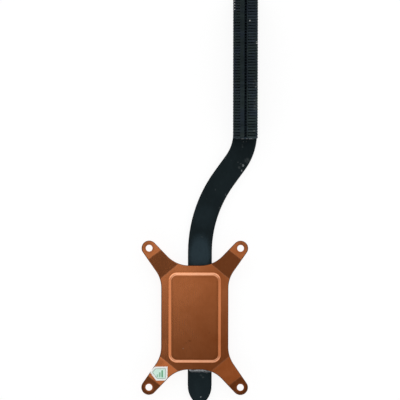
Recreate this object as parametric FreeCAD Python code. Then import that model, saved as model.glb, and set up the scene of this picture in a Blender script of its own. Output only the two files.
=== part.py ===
import FreeCAD
import Part
import math
import os

# Laptop heatsink: a stamped cold plate, a flattened heat pipe and a stack of folded fins, in millimetres.
# The origin lies under the middle of the four screw holes, on the flat back of the pipe.
# +Y runs along the pipe towards the fins, +X across it, and +Z from the pipe towards the contact face.

# Screw holes at the ends of the plate's arms
HOLE_SPACING_X = 32.6
HOLE_SPACING_Y = 49.6
HOLE_DIAMETER = 2.4
TAB_RADIUS = 2.7

# Contact pad coined up in the middle of the plate
PAD_X = 18.7
PAD_Y = 32.2
PAD_CORNER = 3.0
PAD_HEIGHT = 0.8
PAD_SLOPE = 1.1
PAD_ROUND = 0.45

# Stamped plate round the pad, with four spring arms bent up to the tabs
PLATE_SHEET = 0.8
FLANGE_SIDE = 2.65
FLANGE_END = 2.5
ARM_SIDE_ANGLE = 55.3
ARM_END_ANGLE = 46.1
ARM_FILLET = 10.7
ARM_RISE = 1.5
ARM_BEND_RADIUS = 0.8
PAD_TO_ROOT_BEND = 1.5
TAB_TO_BEND = 0.3

# Heat pipe, a round tube pressed flat, with an offset bend and a tapered seal below the plate
TUBE_DIAMETER = 6.0
PIPE_THICKNESS = 1.5
PIPE_SIDE_BULGE = 0.15
PIPE_OFFSET_X = 1.8
PIPE_BEND_START_Y = 23.2
PIPE_JOG = 16.1
PIPE_BEND_ANGLE = 35.9
PIPE_LOWER_BEND = 45.4
PIPE_UPPER_BEND = 17.7
PIPE_PAST_PLATE = 5.8
SEAL_SHOULDER = 8.5
SEAL_LENGTH = 6.7
PIPE_PAST_FINS = 2.0

# Folded fins, each hooked over the next one by two lock tabs beside a middle groove
FIN_COUNT = 50
FIN_PITCH = 1.0
FIN_SHEET = 0.2
FIN_HEIGHT = 5.4
FIN_FOLD = 0.15
FIN_OVERHANG = 0.11
FIN_TO_BEND_LAP = 1.8
FLANGE_INSET = 0.08
SEAM_GAP = 0.3
GROOVE_WIDTH = 0.8
LEFT_LOCK_WIDTH = 1.5
RIGHT_LOCK_WIDTH = 0.45
LOCK_GAP = 0.05

# Solder films between the pipe and what it carries
SOLDER_FILM = 0.1
SOLDER_EDGE_GAP = 0.15
PLATE_SOLDER_LIP = 0.45
FIN_SOLDER_LIP = 0.4

# Inspection label on one arm, with three clipped corners
LABEL_X = 6.0
LABEL_Y = 4.9
LABEL_THICKNESS = 0.1
LABEL_FROM_HOLE_X = 0.6
LABEL_FROM_HOLE_Y = 2.4
LABEL_UPPER_CLIP = 1.5
LABEL_LOWER_CLIP_X = 2.0
LABEL_LOWER_CLIP_Y = 2.6
LABEL_SMALL_CLIP = 0.9

# Sizes that follow from those above
PLATE_BODY_X = PAD_X + 2 * FLANGE_SIDE
PLATE_BODY_Y = PAD_Y + 2 * FLANGE_END
PIPE_WIDTH = PIPE_THICKNESS + math.pi / 2 * (TUBE_DIAMETER - PIPE_THICKNESS)
PIPE_SIDE_ROUND = PIPE_THICKNESS / 2 + PIPE_SIDE_BULGE
PIPE_FLAT = PIPE_WIDTH - 2 * PIPE_SIDE_ROUND
SEAT_Z = PIPE_THICKNESS + SOLDER_FILM
FLANGE_TOP_Z = SEAT_Z + PLATE_SHEET
PAD_TOP_Z = FLANGE_TOP_Z + PAD_HEIGHT
HOLE = FreeCAD.Vector(HOLE_SPACING_X / 2, HOLE_SPACING_Y / 2, 0)
ARM_ANGLE = (ARM_SIDE_ANGLE + ARM_END_ANGLE) / 2
FIN_X = PIPE_OFFSET_X + PIPE_JOG
FIN_DEPTH = PIPE_WIDTH + 2 * FIN_OVERHANG

UP = FreeCAD.Vector(0, 0, 1)
ALONG_X = FreeCAD.Vector(1, 0, 0)
ALONG_Y = FreeCAD.Vector(0, 1, 0)
MIDDLE = FreeCAD.Vector(0, 0, 0)


def heading(degrees):
    """Unit vector in the plane of the pipe, turned from +X towards +Y."""
    angle = math.radians(degrees)
    return FreeCAD.Vector(math.cos(angle), math.sin(angle), 0)


def line(start, end):
    return Part.LineSegment(start, end).toShape()


def arc(centre, radius, start, end):
    """Arc in the plane of the pipe between two headings in degrees."""
    points = [centre + heading(a) * radius for a in (start, (start + end) / 2, end)]
    return Part.Arc(*points).toShape()


def box(x_range, y_range, z_range):
    low = FreeCAD.Vector(x_range[0], y_range[0], z_range[0])
    size = [r[1] - r[0] for r in (x_range, y_range, z_range)]
    return Part.makeBox(*size, low)


def prism(edges, thickness, bottom):
    """Solid standing on a closed outline at the height of its underside."""
    face = Part.Face(Part.Wire(Part.__sortEdges__(edges)))
    face.translate(UP * bottom)
    return face.extrude(UP * thickness)


def in_all_quadrants(shapes):
    """The shapes of the +X +Y quarter, with their mirror images in the other three."""
    half = shapes + [s.mirror(MIDDLE, ALONG_X) for s in shapes]
    return half + [s.mirror(MIDDLE, ALONG_Y) for s in half]


def crossing(start, direction, axis, value):
    """Point where a line reaches a given coordinate, along X for axis 0 and along Y for axis 1."""
    return start + direction * ((value - start[axis]) / direction[axis])


def fillet_arc(corner, first, second, radius):
    """Arc that rounds a corner between two directions leaving it, with its two tangent points."""
    half_angle = first.getAngle(second) / 2
    reach = radius / math.tan(half_angle)
    bisector = FreeCAD.Vector(first + second).normalize()
    nearest = corner + bisector * (radius / math.sin(half_angle) - radius)
    start = corner + first * reach
    end = corner + second * reach
    return start, end, Part.Arc(start, nearest, end).toShape()


# Cold plate

def quarter_outline():
    """Edges of the plate's outline from the middle of its +X side, round one arm, to the middle of its +Y end."""
    side = heading(ARM_SIDE_ANGLE)
    end = heading(ARM_END_ANGLE)
    side_touch = HOLE + heading(ARM_SIDE_ANGLE - 90) * TAB_RADIUS
    end_touch = HOLE + heading(ARM_END_ANGLE + 90) * TAB_RADIUS
    side_corner = crossing(side_touch, side, 0, PLATE_BODY_X / 2)
    end_corner = crossing(end_touch, end, 1, PLATE_BODY_Y / 2)
    side_start, side_end, side_fillet = fillet_arc(side_corner, -ALONG_Y, side, ARM_FILLET)
    end_start, end_end, end_fillet = fillet_arc(end_corner, end, -ALONG_X, ARM_FILLET)
    return [
        line(ALONG_X * (PLATE_BODY_X / 2), side_start),
        side_fillet,
        line(side_end, side_touch),
        arc(HOLE, TAB_RADIUS, ARM_SIDE_ANGLE - 90, ARM_END_ANGLE + 90),
        line(end_touch, end_start),
        end_fillet,
        line(end_end, ALONG_Y * (PLATE_BODY_Y / 2)),
    ]


def arm_stations():
    """Distances along the arm's axis from the plate's middle to the root bend, the tab bend and the hole."""
    axis = heading(ARM_ANGLE)
    pad_centre = FreeCAD.Vector(PAD_X / 2 - PAD_CORNER, PAD_Y / 2 - PAD_CORNER, 0)
    root = pad_centre.dot(axis) + PAD_CORNER + PAD_TO_ROOT_BEND
    hole = HOLE.dot(axis)
    return root, hole - TAB_RADIUS - TAB_TO_BEND, hole


def arm_slope():
    root, tab, _ = arm_stations()
    return math.atan2(ARM_RISE, tab - root)


def bent_line(start, end, height, root_radius, tab_radius):
    """Edges of one face of the bent arm in side view, flat, then rising, then flat again."""
    root, tab, _ = arm_stations()
    shift = (height - SEAT_Z) * math.tan(arm_slope() / 2)
    foot = FreeCAD.Vector(root - shift, 0, height)
    top = FreeCAD.Vector(tab - shift, 0, height + ARM_RISE)
    rise = FreeCAD.Vector(top - foot).normalize()
    foot_start, foot_end, foot_arc = fillet_arc(foot, -ALONG_X, rise, root_radius)
    top_start, top_end, top_arc = fillet_arc(top, -rise, ALONG_X, tab_radius)
    outer = FreeCAD.Vector(end, 0, height + ARM_RISE)
    return [
        line(FreeCAD.Vector(start, 0, height), foot_start),
        foot_arc,
        line(foot_end, top_start),
        top_arc,
        line(top_end, outer),
    ]


def arm_start():
    """Distance along the arm's axis at which the flat body hands over to the arm, ahead of the root bend."""
    return arm_stations()[0] - PAD_TO_ROOT_BEND / 2


def bent_strip(blank):
    """Sheet of one arm, bent up at the root and level again at the tab."""
    start = arm_start()
    end = arm_stations()[2] + 2 * TAB_RADIUS
    wide = ARM_BEND_RADIUS + PLATE_SHEET
    below = bent_line(start, end, SEAT_Z, wide, ARM_BEND_RADIUS)
    above = bent_line(start, end, FLANGE_TOP_Z, ARM_BEND_RADIUS, wide)
    root_end = line(below[0].Vertexes[0].Point, above[0].Vertexes[0].Point)
    tab_end = line(below[-1].Vertexes[-1].Point, above[-1].Vertexes[-1].Point)
    profile = Part.Face(Part.Wire(Part.__sortEdges__(below + above + [root_end, tab_end])))
    profile.translate(ALONG_Y * -PLATE_BODY_Y)
    strip = profile.extrude(ALONG_Y * 2 * PLATE_BODY_Y)
    strip.rotate(MIDDLE, UP, ARM_ANGLE)
    return strip.common(blank)


def rounded_rectangle(size_x, size_y, radius, height):
    """Closed wire of a rectangle with round corners, level at a given height."""
    corner = FreeCAD.Vector(size_x / 2 - radius, size_y / 2 - radius, 0)
    right = FreeCAD.Vector(size_x / 2, 0, 0)
    top = FreeCAD.Vector(0, size_y / 2, 0)
    quarter = [
        line(right, corner + ALONG_X * radius),
        arc(corner, radius, 0, 90),
        line(corner + ALONG_Y * radius, top),
    ]
    wire = Part.Wire(Part.__sortEdges__(in_all_quadrants(quarter)))
    wire.translate(UP * height)
    return wire


def contact_pad():
    """Raised pad with a sloping wall all round and a rounded rim."""
    inset = 2 * PAD_SLOPE
    foot = rounded_rectangle(PAD_X, PAD_Y, PAD_CORNER, FLANGE_TOP_Z)
    rim = rounded_rectangle(PAD_X - inset, PAD_Y - inset, PAD_CORNER - PAD_SLOPE, PAD_TOP_Z)
    pad = Part.makeLoft([foot, rim], True, True)
    rim_edges = [e for e in pad.Edges if e.BoundBox.ZMin > FLANGE_TOP_Z + PAD_HEIGHT / 2]
    return pad.makeFillet(PAD_ROUND, rim_edges)


def cold_plate():
    outline = in_all_quadrants(quarter_outline())
    hole = arm_stations()[2]
    above_all = PAD_TOP_Z + ARM_RISE
    blank = prism(outline, above_all, 0)
    beyond = box((arm_start(), 2 * hole), (-hole, hole), (0, above_all))
    beyond.rotate(MIDDLE, UP, ARM_ANGLE)
    body = prism(outline, PLATE_SHEET, SEAT_Z)
    for block in in_all_quadrants([beyond]):
        body = body.cut(block)
    arms = in_all_quadrants([bent_strip(blank.common(beyond))])
    plate = body.multiFuse(arms + [contact_pad()]).removeSplitter()
    drill = Part.makeCylinder(HOLE_DIAMETER / 2, above_all, HOLE)
    for cutter in in_all_quadrants([drill]):
        plate = plate.cut(cutter)
    return plate


# Heat pipe

def pipe_bends():
    """Centres of the two bends, with the length of straight pipe between them."""
    angle = math.radians(PIPE_BEND_ANGLE)
    first = FreeCAD.Vector(PIPE_OFFSET_X + PIPE_LOWER_BEND, PIPE_BEND_START_Y, 0)
    sideways = (PIPE_LOWER_BEND + PIPE_UPPER_BEND) * (1 - math.cos(angle))
    straight = (PIPE_JOG - sideways) / math.sin(angle)
    leaving = heading(90 - PIPE_BEND_ANGLE) * straight
    second = first + heading(180 - PIPE_BEND_ANGLE) * (PIPE_LOWER_BEND + PIPE_UPPER_BEND) + leaving
    return first, second, leaving


def seal_start():
    return -PLATE_BODY_Y / 2 - PIPE_PAST_PLATE


def fin_start():
    return pipe_bends()[1].y - FIN_TO_BEND_LAP


def fin_end():
    return fin_start() + FIN_COUNT * FIN_PITCH


def along_pipe(section, end):
    """Sweeps an upright section, drawn about X = 0, up the lower leg, round both bends and up to the end in Y."""
    first, second, leaving = pipe_bends()
    section.translate(FreeCAD.Vector(PIPE_OFFSET_X, seal_start(), 0))
    lower_leg = ALONG_Y * (PIPE_BEND_START_Y - seal_start())
    runs = [section.extrude(lower_leg)]
    section.translate(lower_leg)
    runs.append(section.revolve(first, UP, -PIPE_BEND_ANGLE))
    section.rotate(first, UP, -PIPE_BEND_ANGLE)
    runs.append(section.extrude(leaving))
    section.translate(leaving)
    runs.append(section.revolve(second, UP, PIPE_BEND_ANGLE))
    section.rotate(second, UP, PIPE_BEND_ANGLE)
    runs.append(section.extrude(ALONG_Y * (end - second.y)))
    return runs


def pressed_side(side):
    """Half ellipse at one side of the pressed tube, on the left for -1 and on the right for +1."""
    centre = FreeCAD.Vector(side * PIPE_FLAT / 2, 0, PIPE_THICKNESS / 2)
    edge = centre + ALONG_X * (side * PIPE_SIDE_ROUND)
    ellipse = Part.Ellipse(edge, centre + UP * (PIPE_THICKNESS / 2), centre)
    return Part.ArcOfEllipse(ellipse, -math.pi / 2, math.pi / 2).toShape()


def pipe_section(left):
    """Face of the pressed tube, from a given left side, a line or a half ellipse, to its right half ellipse."""
    right = pressed_side(1)
    ends = [left.Vertexes[0].Point, left.Vertexes[-1].Point]
    low, high = sorted(ends, key=lambda point: point.z)
    flat = PIPE_FLAT / 2
    lower = line(low, FreeCAD.Vector(flat, 0, 0))
    upper = line(high, FreeCAD.Vector(flat, 0, PIPE_THICKNESS))
    return Part.Face(Part.Wire(Part.__sortEdges__([left, lower, right, upper])))


def tapered_seal():
    """Lower end, narrowed between two shoulders and closed by a blunt tip."""
    axis = ALONG_X * (PIPE_WIDTH / 2 - SEAL_SHOULDER)
    shoulder = pipe_section(line(axis, axis + UP * PIPE_THICKNESS))
    right = shoulder.revolve(axis, UP, -90)
    left = right.mirror(MIDDLE, ALONG_X)
    tip = box((-SEAL_SHOULDER, SEAL_SHOULDER), (-SEAL_LENGTH, 0), (0, PIPE_THICKNESS))
    seal = right.common(left).common(tip)
    seal.translate(FreeCAD.Vector(PIPE_OFFSET_X, seal_start(), 0))
    return seal


def heat_pipe():
    runs = along_pipe(pipe_section(pressed_side(-1)), fin_end() + PIPE_PAST_FINS)
    return tapered_seal().multiFuse(runs).removeSplitter()


# Fins

def folded_channel():
    """Fin before it is notched: an upright web with a flange along the pipe and one along the open side."""
    profile = [
        (0, 0),
        (FIN_PITCH, 0),
        (FIN_PITCH, FIN_SHEET),
        (FIN_SHEET, FIN_SHEET),
        (FIN_SHEET, FIN_HEIGHT - FIN_SHEET),
        (FIN_PITCH, FIN_HEIGHT - FIN_SHEET),
        (FIN_PITCH, FIN_HEIGHT),
        (FIN_FOLD, FIN_HEIGHT),
        (0, FIN_HEIGHT - FIN_FOLD),
    ]
    half = FIN_DEPTH / 2 - FLANGE_INSET
    points = [FreeCAD.Vector(-half, y, z) for y, z in profile + profile[:1]]
    channel = Part.Face(Part.makePolygon(points)).extrude(ALONG_X * 2 * half)
    web = box((-FIN_DEPTH / 2, FIN_DEPTH / 2), (0, FIN_SHEET), (0, FIN_HEIGHT - FIN_SHEET))
    return channel.fuse(web).removeSplitter()


def fin(last):
    """One fin, with its two lock tabs reaching over the next fin's web unless it is the last."""
    flange = (FIN_HEIGHT - FIN_SHEET, FIN_HEIGHT)
    groove = GROOVE_WIDTH / 2
    left = -groove - LEFT_LOCK_WIDTH
    right = groove + RIGHT_LOCK_WIDTH
    edge = FIN_DEPTH / 2
    seam = (FIN_PITCH - SEAM_GAP, FIN_PITCH)
    shape = folded_channel()
    shape = shape.cut(box((left, right), (0, FIN_SHEET + LOCK_GAP), flange))
    shape = shape.cut(box((-groove, groove), (0, FIN_PITCH), flange))
    shape = shape.cut(box((right, edge), seam, flange))
    shape = shape.cut(box((-edge, left), seam, flange))
    if not last:
        reach = (FIN_PITCH, FIN_PITCH + FIN_SHEET)
        shape = shape.multiFuse([box((groove, right), reach, flange), box((left, -groove), reach, flange)])
    return shape.removeSplitter()


def fins():
    """The whole stack by name, each fin one pitch further along the pipe."""
    hooked = fin(False)
    plain = fin(True)
    stack = {}
    for number in range(FIN_COUNT):
        shape = (plain if number == FIN_COUNT - 1 else hooked).copy()
        shape.translate(FreeCAD.Vector(FIN_X, fin_start() + number * FIN_PITCH, SEAT_Z))
        stack["fin_%02d" % (number + 1)] = shape
    return stack


# Solder

def film_on_pipe():
    """Film all along the flat of the pipe, kept a little inside its rounded sides."""
    half = PIPE_FLAT / 2 - SOLDER_EDGE_GAP
    corners = [(-half, PIPE_THICKNESS), (half, PIPE_THICKNESS), (half, SEAT_Z), (-half, SEAT_Z)]
    points = [FreeCAD.Vector(x, 0, z) for x, z in corners + corners[:1]]
    runs = along_pipe(Part.Face(Part.makePolygon(points)), fin_end())
    return runs[0].multiFuse(runs[1:]).removeSplitter()


def plate_solder():
    """Film under the plate, showing as a lip along both ends of the plate where the pipe passes."""
    plate = Part.Face(Part.Wire(Part.__sortEdges__(in_all_quadrants(quarter_outline()))))
    wetted = plate.makeOffset2D(PLATE_SOLDER_LIP).extrude(UP * SEAT_Z)
    return film_on_pipe().common(wetted).removeSplitter()


def fin_solder():
    """Film under the fins, with a lip ahead of the first one."""
    half = FIN_DEPTH / 2
    stack = (fin_start() - FIN_SOLDER_LIP, fin_end())
    return film_on_pipe().common(box((FIN_X - half, FIN_X + half), stack, (0, SEAT_Z)))


# Label

def inspection_label():
    """Thin label stuck on the sloping part of the arm at -X and -Y."""
    left = -HOLE.x + LABEL_FROM_HOLE_X
    right = left + LABEL_X
    low = -HOLE.y + LABEL_FROM_HOLE_Y
    high = low + LABEL_Y
    corners = [
        (left + LABEL_LOWER_CLIP_X, low),
        (right - LABEL_SMALL_CLIP, low),
        (right, low + LABEL_SMALL_CLIP),
        (right, high),
        (left + LABEL_UPPER_CLIP, high),
        (left, high - LABEL_UPPER_CLIP),
        (left, low + LABEL_LOWER_CLIP_Y),
    ]
    points = [FreeCAD.Vector(x, y, 0) for x, y in corners]
    edges = [line(a, b) for a, b in zip(points, points[1:] + points[:1])]
    column = prism(edges, FIN_HEIGHT, 0)
    root, tab, hole = arm_stations()
    slope = math.degrees(arm_slope())
    shift = PLATE_SHEET * math.tan(arm_slope() / 2)
    leaf = box((-hole, hole), (-hole, hole), (0, LABEL_THICKNESS))
    leaf.rotate(MIDDLE, ALONG_Y, -slope)
    leaf.translate(FreeCAD.Vector(root - shift, 0, FLANGE_TOP_Z))
    leaf.rotate(MIDDLE, UP, ARM_ANGLE + 180)
    return leaf.common(column)


nodes = {
    "cold_plate": cold_plate(),
    "heat_pipe": heat_pipe(),
    "plate_solder": plate_solder(),
    "fin_solder": fin_solder(),
    "inspection_label": inspection_label(),
}
nodes.update(fins())

os.makedirs("parts", exist_ok=True)
for name, shape in nodes.items():
    if not shape.isValid() or len(shape.Solids) != 1:
        raise ValueError(name + " is not one sound solid")
    shape.Solids[0].exportStep("parts/" + name + ".step")
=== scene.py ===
import math
import bmesh
import bpy
from bpy.props import FloatProperty, FloatVectorProperty, PointerProperty
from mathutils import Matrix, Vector, noise


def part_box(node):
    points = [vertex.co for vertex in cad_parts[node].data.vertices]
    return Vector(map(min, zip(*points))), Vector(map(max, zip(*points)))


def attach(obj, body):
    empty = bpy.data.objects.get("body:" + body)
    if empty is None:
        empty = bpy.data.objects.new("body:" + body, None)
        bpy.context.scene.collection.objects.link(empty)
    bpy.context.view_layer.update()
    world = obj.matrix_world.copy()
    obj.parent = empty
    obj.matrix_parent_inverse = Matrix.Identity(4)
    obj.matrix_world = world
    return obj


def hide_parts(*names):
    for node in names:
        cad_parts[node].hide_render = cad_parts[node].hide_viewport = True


bl_info = {
    "name": "Laptop Heatsink",
    "version": (1, 0, 0),
    "blender": (4, 5, 0),
    "location": "3D View > Sidebar > Heatsink",
    "description": "Dresses a laptop heatsink: copper cold plate, black heat pipe, folded fins, solder and label",
    "category": "Object",
}

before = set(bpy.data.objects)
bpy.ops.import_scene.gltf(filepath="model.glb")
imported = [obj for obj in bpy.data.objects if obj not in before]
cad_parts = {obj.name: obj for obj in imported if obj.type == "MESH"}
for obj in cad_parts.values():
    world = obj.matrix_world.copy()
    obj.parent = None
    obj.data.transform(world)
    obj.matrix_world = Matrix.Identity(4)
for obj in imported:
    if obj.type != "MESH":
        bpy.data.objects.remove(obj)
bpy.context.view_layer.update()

MM = 0.001
BODY = "root"

# Where things are on the heatsink, in millimetres, as the solids have them
HOLE_X, HOLE_Y = 16.3, 24.8
PAD_HALF_X, PAD_HALF_Y, PAD_CORNER = 9.35, 16.1, 3.0
ARM_X, ARM_Y = 0.63338, 0.77384
ROOT_BEND, TAB_BEND = 18.659, 26.515
ARM_RISE_RATE, ARM_RISE_FROM = 0.19094, 18.584
PLATE_END_Y, NOTCH_START_X, NOTCH_RADIUS = 18.6, 2.05, 10.7
FLANGE_TOP = 2.4
PIPE_X, PIPE_HALF_FLAT, PIPE_SIDE, PIPE_TOP = 1.8, 3.385, 0.9, 1.5
FIN_PITCH, FIN_TOP = 1.0, 7.0
LABEL_UPPER_CLIP, LABEL_SMALL_CLIP = 1.5, 0.9
LABEL_LOWER_CLIP_X, LABEL_LOWER_CLIP_Y = 2.0, 2.6

# How the plate's edges are broken
SAME_PLACE = 1e-6
FLAT_ANGLE, EDGE_ANGLE, CRISP_FOLD = math.radians(0.2), math.radians(60), math.radians(33)
EDGE_STEPS = 4

# How solder and label are drawn, in millimetres where they are lengths
BEAD_STEPS, FIN_BEAD_STEPS, FILLET_STEPS = 64, 60, 8
BEAD_REACH, BEAD_SUNK = 3.95, 0.02
LABEL_CELLS, PAPER_THICKNESS = 24, 0.07

# Constant surface values
COAT_SPECULAR, PAPER_SPECULAR = 0.025, 0.35

# Floor, lamp and camera, in metres where they are lengths
FLOOR_HALF, FLOOR_DROP, FLOOR_CELLS = 3.0, 0.0002, 8
FLOOR_GLOW, FLOOR_SHADE = 0.86, (0.19, 0.19, 0.19)
ROOM_OVERHEAD_FROM, ROOM_WALLS_FROM, ROOM_CORNERS = 0.92, 0.50, 2.4
ROOM_SHAPE, ROOM_LEAN = (0.30, -0.06, 0.0), (-0.03, 0.10, 0.0)
SOFTBOX_X, SOFTBOX_Y, SOFTBOX_PLACE = 0.27, 0.22, (0.070, 0.102, 0.25)
CAMERA_X, CAMERA_Y, SENSOR_MM = 0.0018, 0.042, 36.0


def in_mm(node):
    """Lowest and highest corner of a solid, in millimetres."""
    return [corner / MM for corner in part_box(node)]


FIN_START = in_mm("fin_01")[0].y
FIN_LEFT, FIN_RIGHT = in_mm("fin_01")[0].x, in_mm("fin_01")[1].x
FIN_MIDDLE = (FIN_LEFT + FIN_RIGHT) / 2
LABEL_LOW, LABEL_HIGH = in_mm("inspection_label")


def colour(name, description, default):
    return FloatVectorProperty(name=name, description=description, default=default,
                               subtype="COLOR", size=3, min=0.0, max=1.0)


def share(name, description, default):
    return FloatProperty(name=name, description=description, default=default,
                         subtype="FACTOR", min=0.0, max=1.0)


def length(name, description, default):
    return FloatProperty(name=name, description=description, default=default,
                         subtype="DISTANCE", unit="LENGTH", min=0.0, precision=5)


class PlateLook(bpy.types.PropertyGroup):
    """Finish of the copper cold plate."""
    copper: colour("Copper", "Clean rolled copper", (0.62, 0.196, 0.068))
    # This colour also serves as painted shade towards the plate's right and bottom.
    tarnish_and_shade: colour("Tarnish", "Copper that has darkened in air", (0.44, 0.117, 0.031))
    # This colour also paints the highlight on the pad's rim.
    burnish_and_highlight: colour("Burnished", "Copper rubbed bright along the bends and the pad's rim", (0.68, 0.335, 0.195))
    roughness: share("Roughness", "How matt the rolled sheet is", 0.27)
    edge: length("Edge break", "Width of the rolled-over edge round the stamped sheet", 0.0003)


class PipeLook(bpy.types.PropertyGroup):
    """Finish of the blackened heat pipe."""
    coat: colour("Coat", "Black coat on the pipe", (0.0102, 0.0163, 0.0186))
    # Painted sheen on the coat near the plate.
    sheen_tint: colour("Haze", "Bluish bloom on the coat near the plate", (0.0285, 0.0465, 0.0575))
    bare: colour("Bare", "Metal and dust showing in chips of the coat", (0.30, 0.33, 0.33))
    roughness: share("Roughness", "How matt the coat is", 0.6)


class FinLook(bpy.types.PropertyGroup):
    """Finish of the blackened fins."""
    coat: colour("Coat", "Black coat on the fins", (0.0158, 0.0226, 0.0265))
    worn: colour("Worn", "Coat rubbed thin along the folds", (0.027, 0.034, 0.038))
    bare: colour("Bare", "Metal showing at the worn tips", (0.46, 0.47, 0.46))
    roughness: share("Roughness", "How matt the coat is", 0.6)


class SolderLook(bpy.types.PropertyGroup):
    """Shape and finish of the solder."""
    metal: colour("Solder", "Dull solder", (0.36, 0.37, 0.38))
    dross: colour("Dross", "Dark skin on the solder", (0.045, 0.05, 0.057))
    soot: colour("Soot", "Black coat over the solder that was sprayed with the fins", (0.016, 0.021, 0.023))
    plate_bead: length("Plate bead", "Width of the bead along the plate's end at the sealed tip", 0.00105)
    thin_bead: length("Thin bead", "Width of the bead along the plate's other end", 0.00018)
    fin_bead: length("Fin bead", "Width of the bead ahead of the first fin", 0.00042)


class LabelLook(bpy.types.PropertyGroup):
    """Print and shape of the inspection label."""
    paper: colour("Paper", "White margin of the label", (0.95, 0.97, 0.94))
    field: colour("Field", "Pale field inside the printed frame", (0.73, 0.97, 0.85))
    line: colour("Frame line", "Printed frame round the field", (0.22, 0.38, 0.29))
    bars: colour("Bars", "Printed bars of rising height", (0.12, 0.42, 0.20))
    curl: length("Curl", "How far the free corners lift", 0.00012)


class StudioLook(bpy.types.PropertyGroup):
    """Floor, light and camera."""
    floor: colour("Floor", "Pale floor", (0.80, 0.80, 0.80))
    overhead: share("Overhead", "Light from straight above", 0.12)
    walls: FloatProperty(name="Walls", description="Light from the sides", default=1.25, min=0.0, max=2.0)
    softbox: FloatProperty(name="Softbox", description="Brightness of the soft lamp above the fins",
                           default=0.66, min=0.0, max=2.0)
    camera_height: length("Camera height", "Height of the camera above the floor", 0.7)
    view_width: length("View width", "Width of the picture at the plate", 0.14286)
    roll: FloatProperty(name="Roll", description="Turn of the camera about its own axis",
                        default=math.radians(0.1), subtype="ANGLE", unit="ROTATION")


def feed(tree, socket, value):
    """Links a socket, or sets it."""
    if isinstance(value, bpy.types.NodeSocket):
        tree.links.new(value, socket)
    elif socket.type == "RGBA":
        socket.default_value = (*value[:3], 1.0)
    else:
        socket.default_value = value


def add_node(tree, kind, sockets=None, **settings):
    """New shader node with its settings and its sockets fed."""
    made = tree.nodes.new("ShaderNode" + kind)
    for key, value in settings.items():
        setattr(made, key, value)
    for key, value in (sockets or {}).items():
        feed(tree, made.inputs[key], value)
    return made


class Finish:
    """A material under construction, with short ways to add its nodes. Positions are in millimetres."""

    def __init__(self, name):
        self.material = bpy.data.materials.new(name)
        self.material.use_nodes = True
        self.tree = self.material.node_tree
        self.surface = self.tree.nodes["Principled BSDF"]
        place = self.node("TexCoord").outputs["Object"]
        self.place = self.node("VectorMath", {0: place, "Scale": 1 / MM}, operation="SCALE").outputs[0]
        self.x, self.y, self.z = self.node("SeparateXYZ", {0: self.place}).outputs
        self.material.diffuse_color = (0.5, 0.5, 0.5, 1.0)

    def node(self, kind, sockets=None, **settings):
        return add_node(self.tree, kind, sockets, **settings)

    def calc(self, operation, *values):
        return self.node("Math", dict(enumerate(values)), operation=operation).outputs[0]

    def vector(self, operation, *values):
        return self.node("VectorMath", dict(enumerate(values)), operation=operation).outputs[0]

    def blend(self, factor, first, second):
        """Colour between two colours."""
        return self.node("Mix", {0: factor, 6: first, 7: second}, data_type="RGBA").outputs[2]

    def shade(self, tint, factor):
        """Colour made lighter or darker by a number round 1."""
        grey = self.node("CombineXYZ", {0: factor, 1: factor, 2: factor}).outputs[0]
        return self.vector("MULTIPLY", tint, grey)

    def ramp(self, value, low, high, start=0.0, end=1.0):
        """Smooth step of a value, from start at low to end at high."""
        sockets = {0: value, 1: low, 2: high, 3: start, 4: end}
        return self.node("MapRange", sockets, interpolation_type="SMOOTHSTEP").outputs[0]

    def band(self, value, low, high, soft):
        """1 between low and high, fading out over a soft margin."""
        return self.calc("MULTIPLY", self.ramp(value, low - soft, low + soft),
                         self.ramp(value, high + soft, high - soft))

    def grain(self, scale, detail=3.0, roughness=0.55, distortion=0.0):
        """Noise with its own number of lumps a millimetre along each axis."""
        where = self.vector("MULTIPLY", self.place, scale)
        sockets = {"Vector": where, "Scale": 1.0, "Detail": detail,
                   "Roughness": roughness, "Distortion": distortion}
        return self.node("TexNoise", sockets).outputs[0]

    def around(self, value, amount, middle=1.0):
        """Noise turned into a number that wanders by an amount either side of a middle."""
        return self.calc("MULTIPLY_ADD", value, 2 * amount, middle - amount)

    def spots(self, places, wobble):
        """Mask of small blotches with ragged outlines; each place is x, y, half width and half height."""
        ragged = self.node("TexNoise", {"Vector": self.place, "Scale": 2.6, "Detail": 3.0}).outputs["Color"]
        uneven = self.vector("SUBTRACT", ragged, (0.5, 0.5, 0.5))
        drift = self.node("VectorMath", {0: uneven, "Scale": wobble}, operation="SCALE").outputs[0]
        where = self.vector("ADD", self.place, drift)
        mask = 0.0
        for x, y, wide, high in places:
            away = self.vector("SUBTRACT", where, (x, y, 0.0))
            away = self.vector("MULTIPLY", away, (1 / wide, 1 / high, 0.0))
            reach = self.node("VectorMath", {0: away}, operation="LENGTH").outputs["Value"]
            mask = self.calc("MAXIMUM", mask, self.ramp(reach, 1.1, 0.55))
        return mask

    def specks(self, scale, share_kept, size):
        """Mask of fine dust, one possible speck in each cell."""
        cells = self.node("TexVoronoi", {"Vector": self.place, "Scale": scale})
        chosen = self.node("SeparateColor", {0: cells.outputs["Color"]}).outputs
        near = self.ramp(cells.outputs["Distance"], size, size * 0.4)
        return self.calc("MULTIPLY", near, self.calc("LESS_THAN", chosen[0], share_kept))

    def upright(self):
        """How far a face looks up or down: 1 when it lies flat, 0 when it stands."""
        normal = self.node("NewGeometry").outputs["Normal"]
        return self.calc("ABSOLUTE", self.node("SeparateXYZ", {0: normal}).outputs[2])

    def relief(self, *layers):
        """Bump from layers of (height, depth in millimetres)."""
        normal = None
        for height, depth in layers:
            sockets = {"Height": height, "Strength": 1.0, "Distance": depth * MM}
            if normal is not None:
                sockets["Normal"] = normal
            normal = self.node("Bump", sockets).outputs[0]
        feed(self.tree, self.surface.inputs["Normal"], normal)

    def finish(self, **sockets):
        """Sets the surface's own sockets and gives the material."""
        for key, value in sockets.items():
            feed(self.tree, self.surface.inputs[key.replace("_", " ")], value)
        return self.material


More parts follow.
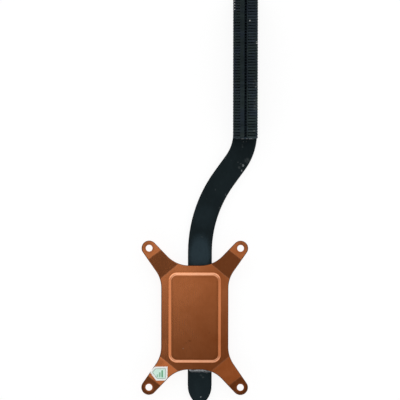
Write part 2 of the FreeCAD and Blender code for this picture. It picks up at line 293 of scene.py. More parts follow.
def pad_distance(finish):
    """Distance outside the foot of the contact pad, negative on the pad."""
    beyond_x = finish.calc("SUBTRACT", finish.calc("ABSOLUTE", finish.x), PAD_HALF_X - PAD_CORNER)
    beyond_y = finish.calc("SUBTRACT", finish.calc("ABSOLUTE", finish.y), PAD_HALF_Y - PAD_CORNER)
    corner = finish.node("CombineXYZ", {0: finish.calc("MAXIMUM", beyond_x, 0.0),
                                        1: finish.calc("MAXIMUM", beyond_y, 0.0)}).outputs[0]
    outside = finish.node("VectorMath", {0: corner}, operation="LENGTH").outputs["Value"]
    inside = finish.calc("MINIMUM", finish.calc("MAXIMUM", beyond_x, beyond_y), 0.0)
    return finish.calc("SUBTRACT", finish.calc("ADD", outside, inside), PAD_CORNER)


SMUDGES = [(-1.9, -8.3, 0.85, 0.22), (-3.1, -9.0, 0.5, 0.18), (5.2, -5.4, 0.5, 0.2)]
# PALE_PATCH is a painted highlight on the lower-left flange.
STAIN, PALE_PATCH, NICK = (-12.8, -15.9, 2.2, 1.5), (-10.9, -10.6, 1.6, 3.6), (-4.1, -11.0, 0.42, 0.24)


def copper_sheet(look):
    """Rolled copper with tarnished clouds, rubbed-bright bends, scratches, scuffed holes and a rough cut edge, with
    painted highlights on the pad's rim and a lower-left patch, and painted shade towards the right and bottom,
    round the pad's rim and foot, on the left wall, the lower tabs and the cut edges.
    """
    f = Finish("copper_sheet")
    rolled = f.grain((6.5, 0.22, 6.5), detail=4.0, roughness=0.62)
    clouds = f.grain((0.075, 0.055, 0.2), detail=3.0, distortion=0.9)
    mottle = f.grain((0.8, 0.6, 0.8), detail=5.0, roughness=0.66)
    swell = f.grain((0.22, 0.16, 0.22), detail=2.0)
    scratch = f.ramp(f.grain((0.5, 9.0, 2.0), detail=2.0, distortion=0.4), 0.70, 0.78)
    arm = f.calc("ADD", f.calc("MULTIPLY", f.calc("ABSOLUTE", f.x), ARM_X),
                 f.calc("MULTIPLY", f.calc("ABSOLUTE", f.y), ARM_Y))
    pad = pad_distance(f)
    to_hole = f.node("CombineXYZ", {0: f.calc("SUBTRACT", f.calc("ABSOLUTE", f.x), HOLE_X),
                                    1: f.calc("SUBTRACT", f.calc("ABSOLUTE", f.y), HOLE_Y)}).outputs[0]
    hole = f.node("VectorMath", {0: to_hole}, operation="LENGTH").outputs["Value"]
    # Standing edge faces away from the pad and holes: rougher where the sheet was cut, and darkened as painted
    # shade.
    rough_and_shaded_edge = f.calc("MULTIPLY", f.ramp(f.upright(), 0.985, 0.84), f.ramp(pad, 0.2, 0.5))
    rough_and_shaded_edge = f.calc("MULTIPLY", rough_and_shaded_edge, f.ramp(hole, 1.6, 2.0, 0.35, 1.0))

    darkened = f.calc("ADD", f.around(clouds, 0.70, 0.36), f.around(mottle, 0.30, 0.0))
    # Painted shade: the copper turns towards the darker tarnish colour towards the right and the bottom of the
    # plate.
    right_side = f.ramp(f.x, -11.0, 11.0, -1.0, 1.0)
    lower_end = f.ramp(f.y, 22.0, -22.0, -1.0, 1.0)
    darkened = f.calc("ADD", darkened, f.calc("MULTIPLY", right_side, 0.24))
    darkened = f.calc("ADD", darkened, f.calc("MULTIPLY", lower_end, 0.22))
    tint = f.blend(f.calc("MINIMUM", f.calc("MAXIMUM", darkened, 0.0), 1.0), look.copper, look.tarnish_and_shade)
    end_wall = f.ramp(f.calc("ABSOLUTE", f.y), PAD_HALF_Y - PAD_CORNER, PAD_HALF_Y - 0.8)
    near_end = f.ramp(f.calc("ABSOLUTE", f.y), PAD_HALF_Y - PAD_CORNER, PAD_HALF_Y - 2.0)
    near_side = f.ramp(f.calc("ABSOLUTE", f.x), PAD_HALF_X - PAD_CORNER, PAD_HALF_X - 2.0)
    round_wall = f.calc("MULTIPLY", near_end, near_side)
    # Painted highlight on the pad's sloping rim, stronger on its end walls.
    rim = f.calc("MULTIPLY", f.band(pad, -0.98, -0.10, 0.12), f.calc("MULTIPLY_ADD", end_wall, 0.8, 0.2))
    # Painted shade: a darker band inside the rim, strongest round the corners (step), and a dark line just inside
    # the rim (shoulder).
    step = f.calc("MULTIPLY_ADD", round_wall, 0.42, 0.03)
    step = f.calc("MULTIPLY", f.band(pad, -0.82, -0.44, 0.10), step)
    shoulder = f.band(pad, -1.25, -0.92, 0.10)
    bends = f.calc("MAXIMUM", f.band(arm, ROOT_BEND - 0.35, ROOT_BEND + 0.05, 0.2),
                   f.calc("MULTIPLY", f.band(arm, TAB_BEND - 0.2, TAB_BEND + 0.2, 0.2), 0.7))
    # The bends are rubbed bright; the rim's share is the painted highlight.
    rubbed = f.calc("MAXIMUM", f.calc("MULTIPLY", rim, 0.9), f.calc("MULTIPLY", bends, 0.18))
    tint = f.blend(f.calc("MULTIPLY", rubbed, f.around(mottle, 0.4)), tint, look.burnish_and_highlight)
    # Painted shade in narrow bands just outside the pad's foot and further inside its rim.
    crease = f.calc("MAXIMUM", f.band(pad, 0.0, 0.3, 0.2), f.band(pad, -1.75, -1.45, 0.15))
    scuff = f.ramp(hole, 2.1, 1.5)
    smudge = f.spots(SMUDGES, 1.1)
    # Painted shade on the left wall of the pad's rim.
    left_wall = f.calc("MULTIPLY", f.band(pad, -1.0, -0.1, 0.12), f.ramp(f.x, -7.0, -8.0))
    tips = f.ramp(arm, TAB_BEND + 3.1, TAB_BEND + 4.7)
    stained = f.spots([STAIN], 1.4)
    # Painted highlight: a paler patch on the lower-left flange.
    paler = f.spots([PALE_PATCH], 1.0)
    # Painted shade on the lower tabs.
    low_tabs = f.calc("MULTIPLY", f.ramp(arm, TAB_BEND - 0.2, TAB_BEND + 0.4),
                      f.calc("LESS_THAN", f.y, 0.0))
    # light: the rolled grain and real smudges, stains, scuffs and darker tab tips, together with painted shade
    # (darker to the right, the creases, the rim's step and shoulder, the lower tabs, the cut edges, the left wall)
    # and the painted highlight of the pale patch.
    light = f.calc("MULTIPLY", f.around(rolled, 0.09), f.calc("MULTIPLY_ADD", right_side, -0.06, 1.04))
    for mask, loss in ((crease, 0.12), (step, 1.0), (shoulder, 0.28), (scuff, 0.08), (smudge, 0.22),
                       (low_tabs, 0.16), (rough_and_shaded_edge, 0.9), (left_wall, 0.16), (tips, 0.22),
                       (stained, 0.18), (paler, -0.2)):
        light = f.calc("MULTIPLY", light, f.calc("MULTIPLY_ADD", mask, -loss, 1.0))
    tint = f.shade(tint, light)
    bright = f.calc("MAXIMUM", f.calc("MULTIPLY", scratch, 0.10), f.spots([NICK], 0.3))
    tint = f.blend(bright, tint, look.burnish_and_highlight)

    rough = f.calc("ADD", f.around(rolled, 0.05, look.roughness), f.calc("MULTIPLY", darkened, 0.07))
    rough = f.calc("ADD", rough, f.calc("MULTIPLY", f.calc("ADD", rough_and_shaded_edge, scuff), 0.12))
    f.relief((rolled, 0.0007), (mottle, 0.0016), (swell, 0.010))
    return f.finish(Base_Color=tint, Roughness=rough, Metallic=1.0)


CHIPS = [(17.2, 54.4, 0.42, 0.55), (16.7, 52.5, 0.22, 0.42), (2.2, -28.4, 0.22, 0.22)]
SHEEN_PATCH, FAINT_SHEEN_PATCHES = [(1.9, 22.0, 4.4, 8.6)], [(1.8, -25.0, 5.5, 9.0), (3.0, 36.0, 4.5, 5.0)]
SCUFFS = [(15.4, 55.5, 0.3, 0.25), (15.8, 53.6, 0.55, 0.5), (16.4, 55.0, 0.4, 0.3), (18.6, 56.1, 1.1, 1.1),
          (11.0, 43.8, 0.28, 0.75), (8.7, 39.2, 0.3, 0.35), (7.3, 45.7, 0.2, 0.5), (2.5, 28.8, 0.4, 0.25),
          (17.0, 61.0, 0.3, 0.4), (21.7, 60.0, 0.35, 1.6), (2.2, -20.7, 0.6, 0.4), (3.0, -21.4, 0.5, 0.35)]


def pipe_coat(look):
    """Black coat with a painted bluish sheen, uneven cover, chips and dust, and painted shade on its rounded sides.
    """
    f = Finish("pipe_coat")
    clouds = f.grain((0.11, 0.07, 0.11), detail=3.0, distortion=0.7)
    mottle = f.grain((0.9, 0.7, 0.9), detail=5.0, roughness=0.65)
    peel = f.grain((3.2, 3.2, 3.2), detail=3.0)
    wave = f.grain((0.25, 0.12, 0.25), detail=2.0)
    # Painted sheen: lighter bluish patches on the coat, strongest near the plate.
    sheen = f.spots(SHEEN_PATCH, 2.5)
    sheen = f.calc("ADD", sheen, f.calc("MULTIPLY", f.spots(FAINT_SHEEN_PATCHES, 2.0), 0.18))
    sheen = f.calc("MULTIPLY", sheen, f.around(clouds, 0.35, 0.85))
    tint = f.blend(f.calc("MINIMUM", sheen, 1.0), look.coat, look.sheen_tint)
    tint = f.shade(tint, f.calc("MULTIPLY", f.around(clouds, 0.28), f.around(mottle, 0.22)))
    # Painted shade on the pipe's rounded sides, which turn away from the light.
    tint = f.shade(tint, f.ramp(f.upright(), 0.55, 0.97, 0.55, 1.0))
    patchy = f.ramp(mottle, 0.28, 0.62, 0.25, 1.0)
    chips = f.calc("MULTIPLY", f.spots(CHIPS, 0.5), patchy)
    scuffs = f.calc("MULTIPLY", f.spots(SCUFFS, 0.7), patchy)
    chips = f.calc("MAXIMUM", chips, f.calc("MULTIPLY", scuffs, 0.10))
    dust = f.calc("MULTIPLY", f.specks(0.55, 0.26, 0.10), 0.07)
    tint = f.blend(f.calc("MAXIMUM", chips, dust), tint, look.bare)
    rough = f.calc("ADD", f.around(mottle, 0.10, look.roughness), f.calc("MULTIPLY", chips, 0.15))
    f.relief((peel, 0.0016), (wave, 0.02), (chips, -0.006))
    f.surface.inputs["Specular IOR Level"].default_value = COAT_SPECULAR
    return f.finish(Base_Color=tint, Roughness=rough, Metallic=0.0)


FIN_WEAR = [(13.95, 112.6, 0.22, 0.20), (13.95, 111.65, 0.22, 0.20), (13.95, 110.7, 0.24, 0.20),
            (13.95, 109.7, 0.26, 0.24), (19.4, 105.8, 0.32, 0.38), (21.9, 97.9, 0.36, 0.45),
            (21.6, 82.1, 0.24, 0.24)]
FIN_RUBBED = [(15.2, 110.2, 1.2, 2.6), (15.0, 93.0, 0.7, 0.9), (17.0, 65.2, 1.5, 0.6), (20.6, 99.0, 1.0, 1.2)]
FIN_SCUFFED = [(21.2, 83.6, 0.7, 1.5), (21.4, 76.0, 0.8, 2.6), (21.2, 66.6, 0.6, 0.8)]
COOL_HUE, WARM_HUE, GROOVE_SHADE = (0.98, 0.97, 1.11), (1.02, 1.05, 0.93), (0.0085, 0.0135, 0.0205)


def fin_coat(look):
    """Black coat that differs a little from fin to fin, rubbed along the folds and bare at a few tips, with painted
    shade in the middle groove and painted light on the right half and inside the gaps.
    """
    f = Finish("fin_coat")
    along = f.calc("DIVIDE", f.calc("SUBTRACT", f.y, FIN_START), FIN_PITCH)
    number = f.calc("FLOOR", along)
    each = f.node("TexWhiteNoise", {"W": number}, noise_dimensions="1D").outputs["Value"]
    mottle = f.grain((0.8, 0.5, 0.8), detail=5.0, roughness=0.65)
    clouds = f.grain((0.16, 0.06, 0.16), detail=2.0, distortion=0.6)
    peel = f.grain((4.0, 4.0, 4.0), detail=3.0)
    in_pitch = f.calc("SUBTRACT", along, number)
    fold = f.calc("MULTIPLY", f.ramp(f.z, FIN_TOP - 0.35, FIN_TOP - 0.08),
                  f.band(in_pitch, 0.10, 0.42, 0.12))
    rubbed = f.calc("MULTIPLY", f.spots(FIN_RUBBED, 1.2), 0.7)
    rubbed = f.calc("MAXIMUM", f.calc("MULTIPLY", fold, 0.40), rubbed)
    tint = f.blend(f.calc("MULTIPLY", rubbed, f.around(mottle, 0.5, 0.8)), look.coat, look.worn)
    tint = f.shade(tint, f.calc("MULTIPLY", f.around(each, 0.18), f.around(clouds, 0.25)))
    # Painted light: the right half of the stack is lighter.
    tint = f.shade(tint, f.ramp(f.x, FIN_MIDDLE + 0.7, FIN_MIDDLE + 1.3, 1.0, 1.25))
    hue = f.ramp(f.grain((0.35, 0.16, 0.35), detail=2.0, distortion=0.5), 0.38, 0.62)
    tint = f.vector("MULTIPLY", tint, f.blend(hue, COOL_HUE, WARM_HUE))
    # Painted shade: the middle groove is darkened.
    groove = f.band(f.x, FIN_MIDDLE - 0.42, FIN_MIDDLE + 0.42, 0.06)
    tint = f.blend(f.calc("MULTIPLY", groove, 0.75), tint, GROOVE_SHADE)
    # Painted light inside the gaps between the folds, strongest in the middle groove.
    inside = f.ramp(f.z, FIN_TOP - 0.25, FIN_TOP - 0.8)
    tint = f.shade(tint, f.calc("MULTIPLY_ADD", inside, f.calc("MULTIPLY_ADD", groove, 2.5, 1.4), 1.0))
    tint = f.shade(tint, f.ramp(f.y, 92.0, 74.0, 1.0, 1.15))
    flecks = f.ramp(f.grain((1.8, 1.8, 1.8), detail=4.0), 0.42, 0.62)
    scuffed = f.calc("MULTIPLY", f.spots(FIN_SCUFFED, 0.9), flecks)
    tint = f.blend(f.calc("MULTIPLY", scuffed, 0.14), tint, look.bare)
    top = f.ramp(f.z, FIN_TOP - 0.5, FIN_TOP - 0.2)
    bare = f.calc("MULTIPLY", f.spots(FIN_WEAR, 0.22), top)
    dust = f.calc("MULTIPLY", f.specks(0.7, 0.22, 0.10), 0.12)
    tint = f.blend(f.calc("MAXIMUM", bare, dust), tint, look.bare)
    f.relief((peel, 0.0016), (mottle, 0.004))
    f.surface.inputs["Specular IOR Level"].default_value = COAT_SPECULAR
    return f.finish(Base_Color=tint, Roughness=f.around(mottle, 0.10, look.roughness), Metallic=0.0)


SOLDER_SHINE = [(16.9, 63.9, 0.42, 0.35), (18.5, 63.9, 0.35, 0.3), (20.0, 63.9, 0.85, 0.22),
                (21.15, 63.7, 0.3, 0.35)]
SOLDER_HINT = [(17.9, 62.9, 1.1, 0.25), (16.8, 61.75, 0.25, 0.4), (14.1, 63.8, 0.3, 0.25)]
# Drops ahead of the first fin: x, y, half width, height and seed of the outline
SOLDER_DROPS = [(16.8, 63.72, 0.34, 0.20, 1.0), (16.2, 63.62, 0.22, 0.14, 2.0), (18.4, 63.66, 0.26, 0.16, 3.0),
                (20.0, 63.75, 0.24, 0.12, 4.0), (20.7, 63.8, 0.30, 0.14, 5.0), (17.2, 62.85, 0.26, 0.10, 6.0),
                (16.6, 62.95, 0.20, 0.08, 7.0), (18.3, 62.9, 0.16, 0.07, 8.0), (16.9, 61.75, 0.15, 0.06, 9.0)]


def dull_solder(look):
    """Frosted solder with a patchy dark skin."""
    f = Finish("dull_solder")
    skin = f.grain((1.3, 1.3, 1.3), detail=5.0, roughness=0.7)
    frost = f.grain((8.0, 8.0, 8.0), detail=3.0)
    tint = f.blend(f.ramp(skin, 0.42, 0.66), look.metal, look.dross)
    tint = f.shade(tint, f.around(frost, 0.18))
    thin = f.ramp(f.calc("SUBTRACT", f.calc("ABSOLUTE", f.y), PLATE_END_Y), 0.15, 1.0)
    thin = f.calc("MULTIPLY", thin, f.calc("LESS_THAN", f.y, 0.0))
    tint = f.blend(f.calc("MULTIPLY", thin, 0.9), tint, look.dross)
    hint = f.calc("MULTIPLY", f.spots(SOLDER_HINT, 0.35), 0.4)
    bright = f.calc("MAXIMUM", f.spots(SOLDER_SHINE, 0.35), hint)
    sooty = f.calc("MULTIPLY_ADD", bright, -0.55, 1.0)
    sooty = f.calc("MULTIPLY", sooty, f.calc("GREATER_THAN", f.y, 0.0))
    tint = f.blend(sooty, tint, look.soot)
    f.relief((frost, 0.004), (skin, 0.02))
    return f.finish(Base_Color=tint, Roughness=f.around(frost, 0.12, 0.5), Metallic=0.85)


# Bars on the label: left edge, height and strength of the ink
LABEL_BARS = ((2.15, 1.05, 0.5), (3.0, 1.75, 0.75), (3.85, 2.45, 1.0))
BAR_WIDTH, BAR_FOOT, SOFT_INK = 0.55, 1.15, 0.05
# Fall of the label's slanted side, and what turns its reach in X into a distance; the same for a clip at 45 degrees
SLANT_FALL, SLANT_SHARE, CLIP_SHARE = 0.77, 0.79, 0.707


def label_print(look):
    """White paper with a pale field inside a printed frame, and three bars of rising height."""
    f = Finish("label_print")
    right = f.calc("SUBTRACT", LABEL_HIGH.x, f.x)
    up = f.calc("SUBTRACT", f.y, LABEL_LOW.y)
    down = f.calc("SUBTRACT", LABEL_HIGH.y, f.y)
    across = f.calc("SUBTRACT", f.x, LABEL_LOW.x)
    slant = f.calc("ADD", across, f.calc("MULTIPLY", up, SLANT_FALL))
    slant = f.calc("MULTIPLY", f.calc("SUBTRACT", slant, LABEL_LOWER_CLIP_X), SLANT_SHARE)
    clipped = f.calc("SUBTRACT", f.calc("ADD", across, down), LABEL_UPPER_CLIP)
    clipped = f.calc("MULTIPLY", clipped, CLIP_SHARE)
    inset = f.calc("MINIMUM", f.calc("MINIMUM", right, up), f.calc("MINIMUM", down, slant))
    inset = f.calc("MINIMUM", inset, f.calc("MINIMUM", across, clipped))
    fibres = f.grain((7.0, 7.0, 7.0), detail=4.0, roughness=0.7)
    worn = f.grain((1.1, 1.1, 1.1), detail=4.0)
    field = f.ramp(inset, 0.70, 0.82)
    tint = f.blend(field, look.paper, look.field)
    ink = f.ramp(worn, 0.30, 0.50, 0.55, 1.0)
    frame_line = f.calc("MULTIPLY", f.band(inset, 0.62, 0.84, SOFT_INK), 0.85)
    tint = f.blend(f.calc("MULTIPLY", frame_line, ink), tint, look.line)
    bars = 0.0
    for left, tall, strength in LABEL_BARS:
        bar = f.calc("MULTIPLY", f.band(across, left, left + BAR_WIDTH, SOFT_INK),
                     f.band(up, BAR_FOOT, BAR_FOOT + tall, SOFT_INK))
        bars = f.calc("MAXIMUM", bars, f.calc("MULTIPLY", bar, strength))
    tint = f.blend(f.calc("MULTIPLY", bars, ink), tint, look.bars)
    tint = f.shade(tint, f.calc("MULTIPLY", f.around(fibres, 0.04), f.around(worn, 0.05)))
    f.relief((fibres, 0.0015), (worn, 0.01))
    f.surface.inputs["Specular IOR Level"].default_value = PAPER_SPECULAR
    return f.finish(Base_Color=tint, Roughness=f.around(fibres, 0.06, 0.45), Metallic=0.0)


def dress(node, material):
    """Gives a solid of the heatsink its finish."""
    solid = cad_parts[node]
    solid.data.materials.clear()
    solid.data.materials.append(material)
    return solid


def node_group(name, build):
    """Geometry node group with one way in and one way out."""
    group = bpy.data.node_groups.new(name, "GeometryNodeTree")
    group.interface.new_socket("Geometry", in_out="INPUT", socket_type="NodeSocketGeometry")
    group.interface.new_socket("Geometry", in_out="OUTPUT", socket_type="NodeSocketGeometry")
    start = group.nodes.new("NodeGroupInput")
    end = group.nodes.new("NodeGroupOutput")
    group.links.new(build(group, start.outputs[0]), end.inputs[0])
    return group


def join_corners(group, mesh):
    """Joins the corners that neighbouring faces share, so that an edge can be broken."""
    free = group.nodes.new("GeometryNodeRemoveAttribute")
    free.inputs["Name"].default_value = "custom_normal"
    group.links.new(mesh, free.inputs["Geometry"])
    joined = group.nodes.new("GeometryNodeMergeByDistance")
    joined.inputs["Distance"].default_value = SAME_PLACE
    group.links.new(free.outputs[0], joined.inputs["Geometry"])
    return joined.outputs[0]


def crisp_folds(group, mesh):
    """Smooth shading with the folds above an angle kept crisp."""
    smooth = group.nodes.new("GeometryNodeSetShadeSmooth")
    group.links.new(mesh, smooth.inputs["Geometry"])
    angle = group.nodes.new("GeometryNodeInputMeshEdgeAngle")
    sharp = group.nodes.new("FunctionNodeCompare")
    sharp.operation = "GREATER_THAN"
    group.links.new(angle.outputs["Unsigned Angle"], sharp.inputs["A"])
    sharp.inputs["B"].default_value = CRISP_FOLD
    crisp = group.nodes.new("GeometryNodeSetShadeSmooth")
    crisp.domain = "EDGE"
    crisp.inputs["Shade Smooth"].default_value = False
    group.links.new(smooth.outputs[0], crisp.inputs["Geometry"])
    group.links.new(sharp.outputs[0], crisp.inputs["Selection"])
    return crisp.outputs[0]


def break_edges(solid, width):
    """Rounds the sharp edges of a solid by modifiers, so that its own mesh stays as it is."""
    weld = solid.modifiers.new("corners", "NODES")
    weld.node_group = node_group("join_corners", join_corners)
    planes = solid.modifiers.new("planes", "DECIMATE")
    planes.decimate_type = "DISSOLVE"
    planes.angle_limit = FLAT_ANGLE
    bevel = solid.modifiers.new("broken_edges", "BEVEL")
    bevel.width = width
    bevel.segments = EDGE_STEPS
    bevel.loop_slide = False
    bevel.use_clamp_overlap = False
    bevel.limit_method = "ANGLE"
    bevel.angle_limit = EDGE_ANGLE
    shading = solid.modifiers.new("shading", "NODES")
    shading.node_group = node_group("crisp_folds", crisp_folds)
    flat = solid.modifiers.new("flat_faces", "WEIGHTED_NORMAL")
    flat.keep_sharp = True


def as_piece(name, mesh, material, node):
    """New piece of the heatsink that stands for one of its solids."""
    mesh.materials.append(material)
    piece = bpy.data.objects.new(name, mesh)
    bpy.context.scene.collection.objects.link(piece)
    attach(piece, BODY)
    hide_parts(node)
    return piece


def to_mesh(name, shape, smooth=True):
    """Mesh in metres from a shape drawn in millimetres."""
    bmesh.ops.recalc_face_normals(shape, faces=shape.faces)
    bmesh.ops.scale(shape, vec=(MM, MM, MM), verts=shape.verts)
    mesh = bpy.data.meshes.new(name)
    for face in shape.faces:
        face.smooth = smooth
    shape.to_mesh(mesh)
    shape.free()
    return mesh


def ripple(x, y, seed, scale=1.0):
    """Steady lumpy number between -1 and 1."""
    return noise.noise(Vector((x * scale, y * scale, seed)))


def slab(shape, low, high):
    """Flat film between two corners."""
    made = bmesh.ops.create_cube(shape, size=1.0)["verts"]
    bmesh.ops.scale(shape, vec=Vector(high) - Vector(low), verts=made)
    bmesh.ops.translate(shape, vec=(Vector(high) + Vector(low)) / 2, verts=made)


def lofted(shape, rings):
    """Closed skin over a row of rings with the same number of points."""
    rows = [[shape.verts.new(point) for point in ring] for ring in rings]
    for first, second in zip(rows, rows[1:]):
        for i in range(len(first)):
            j = (i + 1) % len(first)
            shape.faces.new((first[i], first[j], second[j], second[i]))
    shape.faces.new(list(reversed(rows[0])))
    shape.faces.new(rows[-1])


def pipe_surface(away):
    """Height of the pipe's upper face at a distance from its middle line."""
    over = max(abs(away) - PIPE_HALF_FLAT, 0.0)
    return PIPE_TOP / 2 + PIPE_TOP / 2 * math.sqrt(max(0.0, 1 - (over / PIPE_SIDE) ** 2))


def plate_edge(x):
    """Distance in Y from the plate's middle to its end, which curves out into the arms."""
    over = max(abs(x) - NOTCH_START_X, 0.0)
    return PLATE_END_Y + NOTCH_RADIUS - math.sqrt(NOTCH_RADIUS ** 2 - over ** 2)


def fillet_ring(x, edge, end, foot, top, width, side):
    """One cross-section of a bead, hollow between what it climbs on and the pipe."""
    points = []
    for step in range(FILLET_STEPS + 1):
        t = step / FILLET_STEPS
        height = foot + (top - foot) * (1 - t) ** 2 + BEAD_SUNK * (1 - t)
        points.append((x, side * (edge + width * t), height))
    points.append((x, side * (edge + width * 0.5), foot - BEAD_SUNK))
    points.append((x, side * (edge - end), foot - BEAD_SUNK))
    points.append((x, side * (edge - end), top))
    return points


def plate_bead(shape, side, width, rise):
    """Bead along one end of the plate where the pipe passes under it."""
    rings = []
    left, right = PIPE_X - BEAD_REACH, PIPE_X + BEAD_REACH
    for step in range(BEAD_STEPS + 1):
        t = step / BEAD_STEPS
        x = left + (right - left) * t
        swell = min(1.0, 6 * t, 6 * (1 - t)) ** 0.5 if 0 < t < 1 else 0.12
        lumps = 1 + 0.16 * ripple(x, side * 7.3, 1.7, 1.1) + 0.08 * ripple(x, side * 3.1, 4.2, 3.4)
        foot = pipe_surface(x - PIPE_X)
        top = min(foot + 0.12 + rise * swell * lumps, FLANGE_TOP - 0.15)
        rings.append(fillet_ring(x, plate_edge(x), 0.03, foot, top, width * swell * lumps, side))
    lofted(shape, rings)


def droplet(shape, x, y, wide, tall, seed):
    """Solidified drop of solder with an uneven outline."""
    made = bmesh.ops.create_uvsphere(shape, u_segments=20, v_segments=10, radius=1.0)["verts"]
    for vert in made:
        lump = 1 + 0.22 * ripple(vert.co.x, vert.co.y, seed, 1.6)
        height = max(vert.co.z, -0.12) * tall
        vert.co = Vector((x + vert.co.x * wide * lump, y + vert.co.y * wide * lump * 0.85,
                          PIPE_TOP + height))


def leaf_height(x, y):
    """Height of the sloping arm under the label."""
    return FLANGE_TOP + (-(x * ARM_X + y * ARM_Y) - ARM_RISE_FROM) * ARM_RISE_RATE


class HEATSINK_OT_cold_plate(bpy.types.Operator):
    """Finish the copper cold plate and break its stamped edges"""
    bl_idname = "heatsink.cold_plate"
    bl_label = "Cold plate"

    def execute(self, context):
        look = context.scene.heatsink_plate
        break_edges(dress("cold_plate", copper_sheet(look)), look.edge)
        return {"FINISHED"}


class HEATSINK_OT_heat_pipe(bpy.types.Operator):
    """Finish the blackened heat pipe"""
    bl_idname = "heatsink.heat_pipe"
    bl_label = "Heat pipe"

    def execute(self, context):
        dress("heat_pipe", pipe_coat(context.scene.heatsink_pipe))
        return {"FINISHED"}


class HEATSINK_OT_fin_stack(bpy.types.Operator):
    """Finish the stack of folded fins"""
    bl_idname = "heatsink.fin_stack"
    bl_label = "Fin stack"

    def execute(self, context):
        coat = fin_coat(context.scene.heatsink_fins)
        fins = [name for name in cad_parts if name.startswith("fin_") and name[4:].isdigit()]
        if not fins:
            raise RuntimeError("the frame has no fins")
        for name in fins:
            dress(name, coat)
        return {"FINISHED"}


class HEATSINK_OT_solder(bpy.types.Operator):
    """Run the solder beads along the plate's ends and ahead of the first fin"""
    bl_idname = "heatsink.solder"
    bl_label = "Solder"

    def execute(self, context):
        look = context.scene.heatsink_solder
        metal = dull_solder(look)
        low, high = in_mm("plate_solder")
        shape = bmesh.new()
        slab(shape, (low.x, -PLATE_END_Y, low.z), (high.x, PLATE_END_Y, high.z))
        plate_bead(shape, -1, look.plate_bead / MM, 0.45)
        plate_bead(shape, 1, look.thin_bead / MM, 0.10)
        mesh = to_mesh("plate_solder_bead", shape)
        as_piece("plate_solder_bead", mesh, metal, "plate_solder")

        low, high = in_mm("fin_solder")
        shape = bmesh.new()
        slab(shape, (low.x, FIN_START, low.z), high)
        rings = []
        for step in range(FIN_BEAD_STEPS + 1):
            t = step / FIN_BEAD_STEPS
            x = low.x + (high.x - low.x) * t
            lumps = 0.75 + 0.55 * ripple(x, 2.0, 9.1, 1.0) + 0.3 * ripple(x, 5.0, 3.3, 3.0)
            lumps = max(lumps, 0.12) * (0.25 if t in (0, 1) else 1.0)
            top = PIPE_TOP + 0.10 + 0.16 * lumps
            rings.append(fillet_ring(x, -FIN_START, 0.02, PIPE_TOP, top, look.fin_bead / MM * lumps, -1))
        lofted(shape, rings)
        for drop in SOLDER_DROPS:
            droplet(shape, *drop)
        mesh = to_mesh("fin_solder_bead", shape)
        as_piece("fin_solder_bead", mesh, metal, "fin_solder")
        return {"FINISHED"}


class HEATSINK_OT_inspection_label(bpy.types.Operator):
    """Lay the clipped inspection label on the sloping arm"""
    bl_idname = "heatsink.inspection_label"
    bl_label = "Inspection label"

    def execute(self, context):
        look = context.scene.heatsink_label
        low, high = LABEL_LOW, LABEL_HIGH
        corners = [(low.x + LABEL_LOWER_CLIP_X, low.y), (high.x - LABEL_SMALL_CLIP, low.y),
                   (high.x, low.y + LABEL_SMALL_CLIP), (high.x, high.y), (low.x + LABEL_UPPER_CLIP, high.y),
                   (low.x, high.y - LABEL_UPPER_CLIP), (low.x, low.y + LABEL_LOWER_CLIP_Y)]
        shape = bmesh.new()
        shape.faces.new([shape.verts.new((x, y, 0.0)) for x, y in corners])
        for axis in (0, 1):
            for step in range(1, LABEL_CELLS):
                plane = [0.0, 0.0, 0.0]
                plane[axis] = low[axis] + (high[axis] - low[axis]) * step / LABEL_CELLS
                normal = [0.0, 0.0, 0.0]
                normal[axis] = 1.0
                bmesh.ops.bisect_plane(shape, geom=shape.verts[:] + shape.edges[:] + shape.faces[:],
                                       plane_co=plane, plane_no=normal)
        bmesh.ops.remove_doubles(shape, verts=shape.verts, dist=0.01)
        for vert in shape.verts:
            x, y = vert.co.x, vert.co.y
            left = max(0.0, 1 - (x - low.x) / 1.6)
            corner = max(0.0, 1 - ((high.x - x) + (y - low.y)) / 2.2)
            lift = look.curl / MM * max(left ** 2, corner ** 2) + 0.012 * (1 + ripple(x, y, 6.0, 0.9))
            vert.co.z = leaf_height(x, y) + lift
        mesh = to_mesh("inspection_label_sheet", shape, smooth=False)
        print_on = label_print(look)
        sheet = as_piece("inspection_label_sheet", mesh, print_on, "inspection_label")
        body = sheet.modifiers.new("paper", "SOLIDIFY")
        body.thickness = PAPER_THICKNESS * MM
        body.offset = -1.0
        return {"FINISHED"}


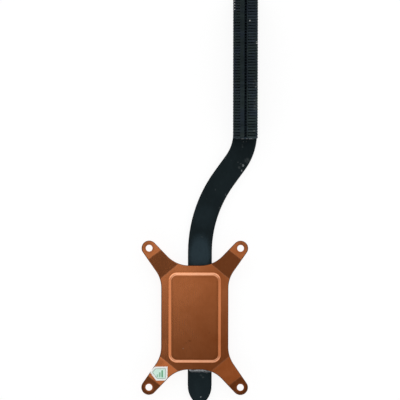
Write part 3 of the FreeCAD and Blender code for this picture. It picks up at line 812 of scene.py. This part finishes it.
class HEATSINK_OT_studio(bpy.types.Operator):
    """Set out the floor, the light and the camera"""
    bl_idname = "heatsink.studio"
    bl_label = "Studio"

    def execute(self, context):
        look = context.scene.heatsink_studio
        scene = context.scene
        scene.view_settings.view_transform = "Standard"
        self.lay_floor(look)
        self.light_room(scene, look)
        self.hang_softbox(scene, look)
        self.set_camera(scene, look)
        return {"FINISHED"}

    def lay_floor(self, look):
        """Pale floor that shows white to the camera and in mirrors, and keeps the shadow."""
        mesh = bpy.data.meshes.new("floor")
        shape = bmesh.new()
        bmesh.ops.create_grid(shape, x_segments=FLOOR_CELLS, y_segments=FLOOR_CELLS, size=FLOOR_HALF)
        shape.to_mesh(mesh)
        shape.free()
        floor = bpy.data.objects.new("floor", mesh)
        floor.location.z = -FLOOR_DROP
        bpy.context.scene.collection.objects.link(floor)
        paint = bpy.data.materials.new("pale_floor")
        paint.use_nodes = True
        tree = paint.node_tree
        tree.nodes.clear()
        plain = add_node(tree, "BsdfDiffuse", {"Color": look.floor}).outputs[0]
        faint = add_node(tree, "BsdfDiffuse", {"Color": FLOOR_SHADE}).outputs[0]
        white = add_node(tree, "Emission", {"Strength": FLOOR_GLOW}).outputs[0]
        shown = add_node(tree, "AddShader", {0: faint, 1: white}).outputs[0]
        ray = add_node(tree, "LightPath").outputs
        seen = ray["Is Camera Ray"]
        for kind in ("Is Glossy Ray", "Is Transmission Ray"):
            seen = add_node(tree, "Math", {0: seen, 1: ray[kind]}, operation="MAXIMUM").outputs[0]
        pick = add_node(tree, "MixShader", {0: seen, 1: plain, 2: shown}).outputs[0]
        add_node(tree, "OutputMaterial", {"Surface": pick})
        mesh.materials.append(paint)

    def light_room(self, scene, look):
        """Room that is dim overhead and bright at the walls, and brighter in its corners."""
        world = bpy.data.worlds.new("studio")
        scene.world = world
        world.use_nodes = True
        tree = world.node_tree

        def calc(operation, *values):
            return add_node(tree, "Math", dict(enumerate(values)), operation=operation).outputs[0]

        def dot(first, second):
            return add_node(tree, "VectorMath", {0: first, 1: second}, operation="DOT_PRODUCT").outputs["Value"]

        way = add_node(tree, "TexCoord").outputs["Generated"]
        upward = add_node(tree, "SeparateXYZ", {0: way}).outputs[2]
        squares = add_node(tree, "VectorMath", {0: way, 1: way}, operation="MULTIPLY").outputs[0]
        above = calc("ADD", upward, dot(squares, ROOM_SHAPE))
        sockets = {0: above, 1: ROOM_OVERHEAD_FROM, 2: ROOM_WALLS_FROM, 3: look.overhead, 4: look.walls}
        height = add_node(tree, "MapRange", sockets, interpolation_type="SMOOTHSTEP").outputs[0]
        side = calc("ADD", dot(way, ROOM_LEAN), 1.0)
        across, along, _ = add_node(tree, "SeparateXYZ", {0: squares}).outputs
        corner = calc("MULTIPLY_ADD", calc("MULTIPLY", across, along), ROOM_CORNERS, side)
        background = tree.nodes["Background"]
        feed(tree, background.inputs["Strength"], calc("MULTIPLY", height, corner))
        feed(tree, background.inputs["Color"], (1.0, 1.0, 1.0))

    def hang_softbox(self, scene, look):
        """Soft lamp above the fins."""
        lamp = bpy.data.lights.new("softbox", "AREA")
        lamp.shape = "RECTANGLE"
        lamp.size, lamp.size_y = SOFTBOX_X, SOFTBOX_Y
        lamp.energy = look.softbox * math.pi * lamp.size * lamp.size_y
        box = bpy.data.objects.new("softbox", lamp)
        box.location = SOFTBOX_PLACE
        box.visible_camera = False
        scene.collection.objects.link(box)

    def set_camera(self, scene, look):
        """Camera that looks straight down."""
        data = bpy.data.cameras.new("camera")
        data.sensor_width = SENSOR_MM
        data.lens = data.sensor_width * (look.camera_height - FLANGE_TOP * MM) / look.view_width
        camera = bpy.data.objects.new("camera", data)
        camera.location = (CAMERA_X, CAMERA_Y, look.camera_height)
        camera.rotation_euler = (0.0, 0.0, look.roll)
        scene.collection.objects.link(camera)
        scene.camera = camera


class HEATSINK_PT_sidebar(bpy.types.Panel):
    """Finishes and builders of the laptop heatsink"""
    bl_idname = "HEATSINK_PT_sidebar"
    bl_label = "Laptop heatsink"
    bl_space_type = "VIEW_3D"
    bl_region_type = "UI"
    bl_category = "Heatsink"

    def draw(self, context):
        for operator, (name, look) in zip(OPERATORS, LOOKS.items()):
            box = self.layout.box()
            box.operator(operator.bl_idname)
            settings = getattr(context.scene, name)
            for key in look.__annotations__:
                box.prop(settings, key)


OPERATORS = (HEATSINK_OT_cold_plate, HEATSINK_OT_heat_pipe, HEATSINK_OT_fin_stack, HEATSINK_OT_solder,
             HEATSINK_OT_inspection_label, HEATSINK_OT_studio)
LOOKS = {"heatsink_plate": PlateLook, "heatsink_pipe": PipeLook, "heatsink_fins": FinLook,
         "heatsink_solder": SolderLook, "heatsink_label": LabelLook, "heatsink_studio": StudioLook}
CLASSES = (*LOOKS.values(), *OPERATORS, HEATSINK_PT_sidebar)


def register():
    for made in CLASSES:
        bpy.utils.register_class(made)
    for name, look in LOOKS.items():
        setattr(bpy.types.Scene, name, PointerProperty(type=look))


def unregister():
    for name in LOOKS:
        delattr(bpy.types.Scene, name)
    for made in reversed(CLASSES):
        bpy.utils.unregister_class(made)


def main():
    """Builds the whole heatsink and its studio."""
    register()
    bpy.ops.heatsink.cold_plate()
    bpy.ops.heatsink.heat_pipe()
    bpy.ops.heatsink.fin_stack()
    bpy.ops.heatsink.solder()
    bpy.ops.heatsink.inspection_label()
    bpy.ops.heatsink.studio()


if __name__ == "__main__":
    main()
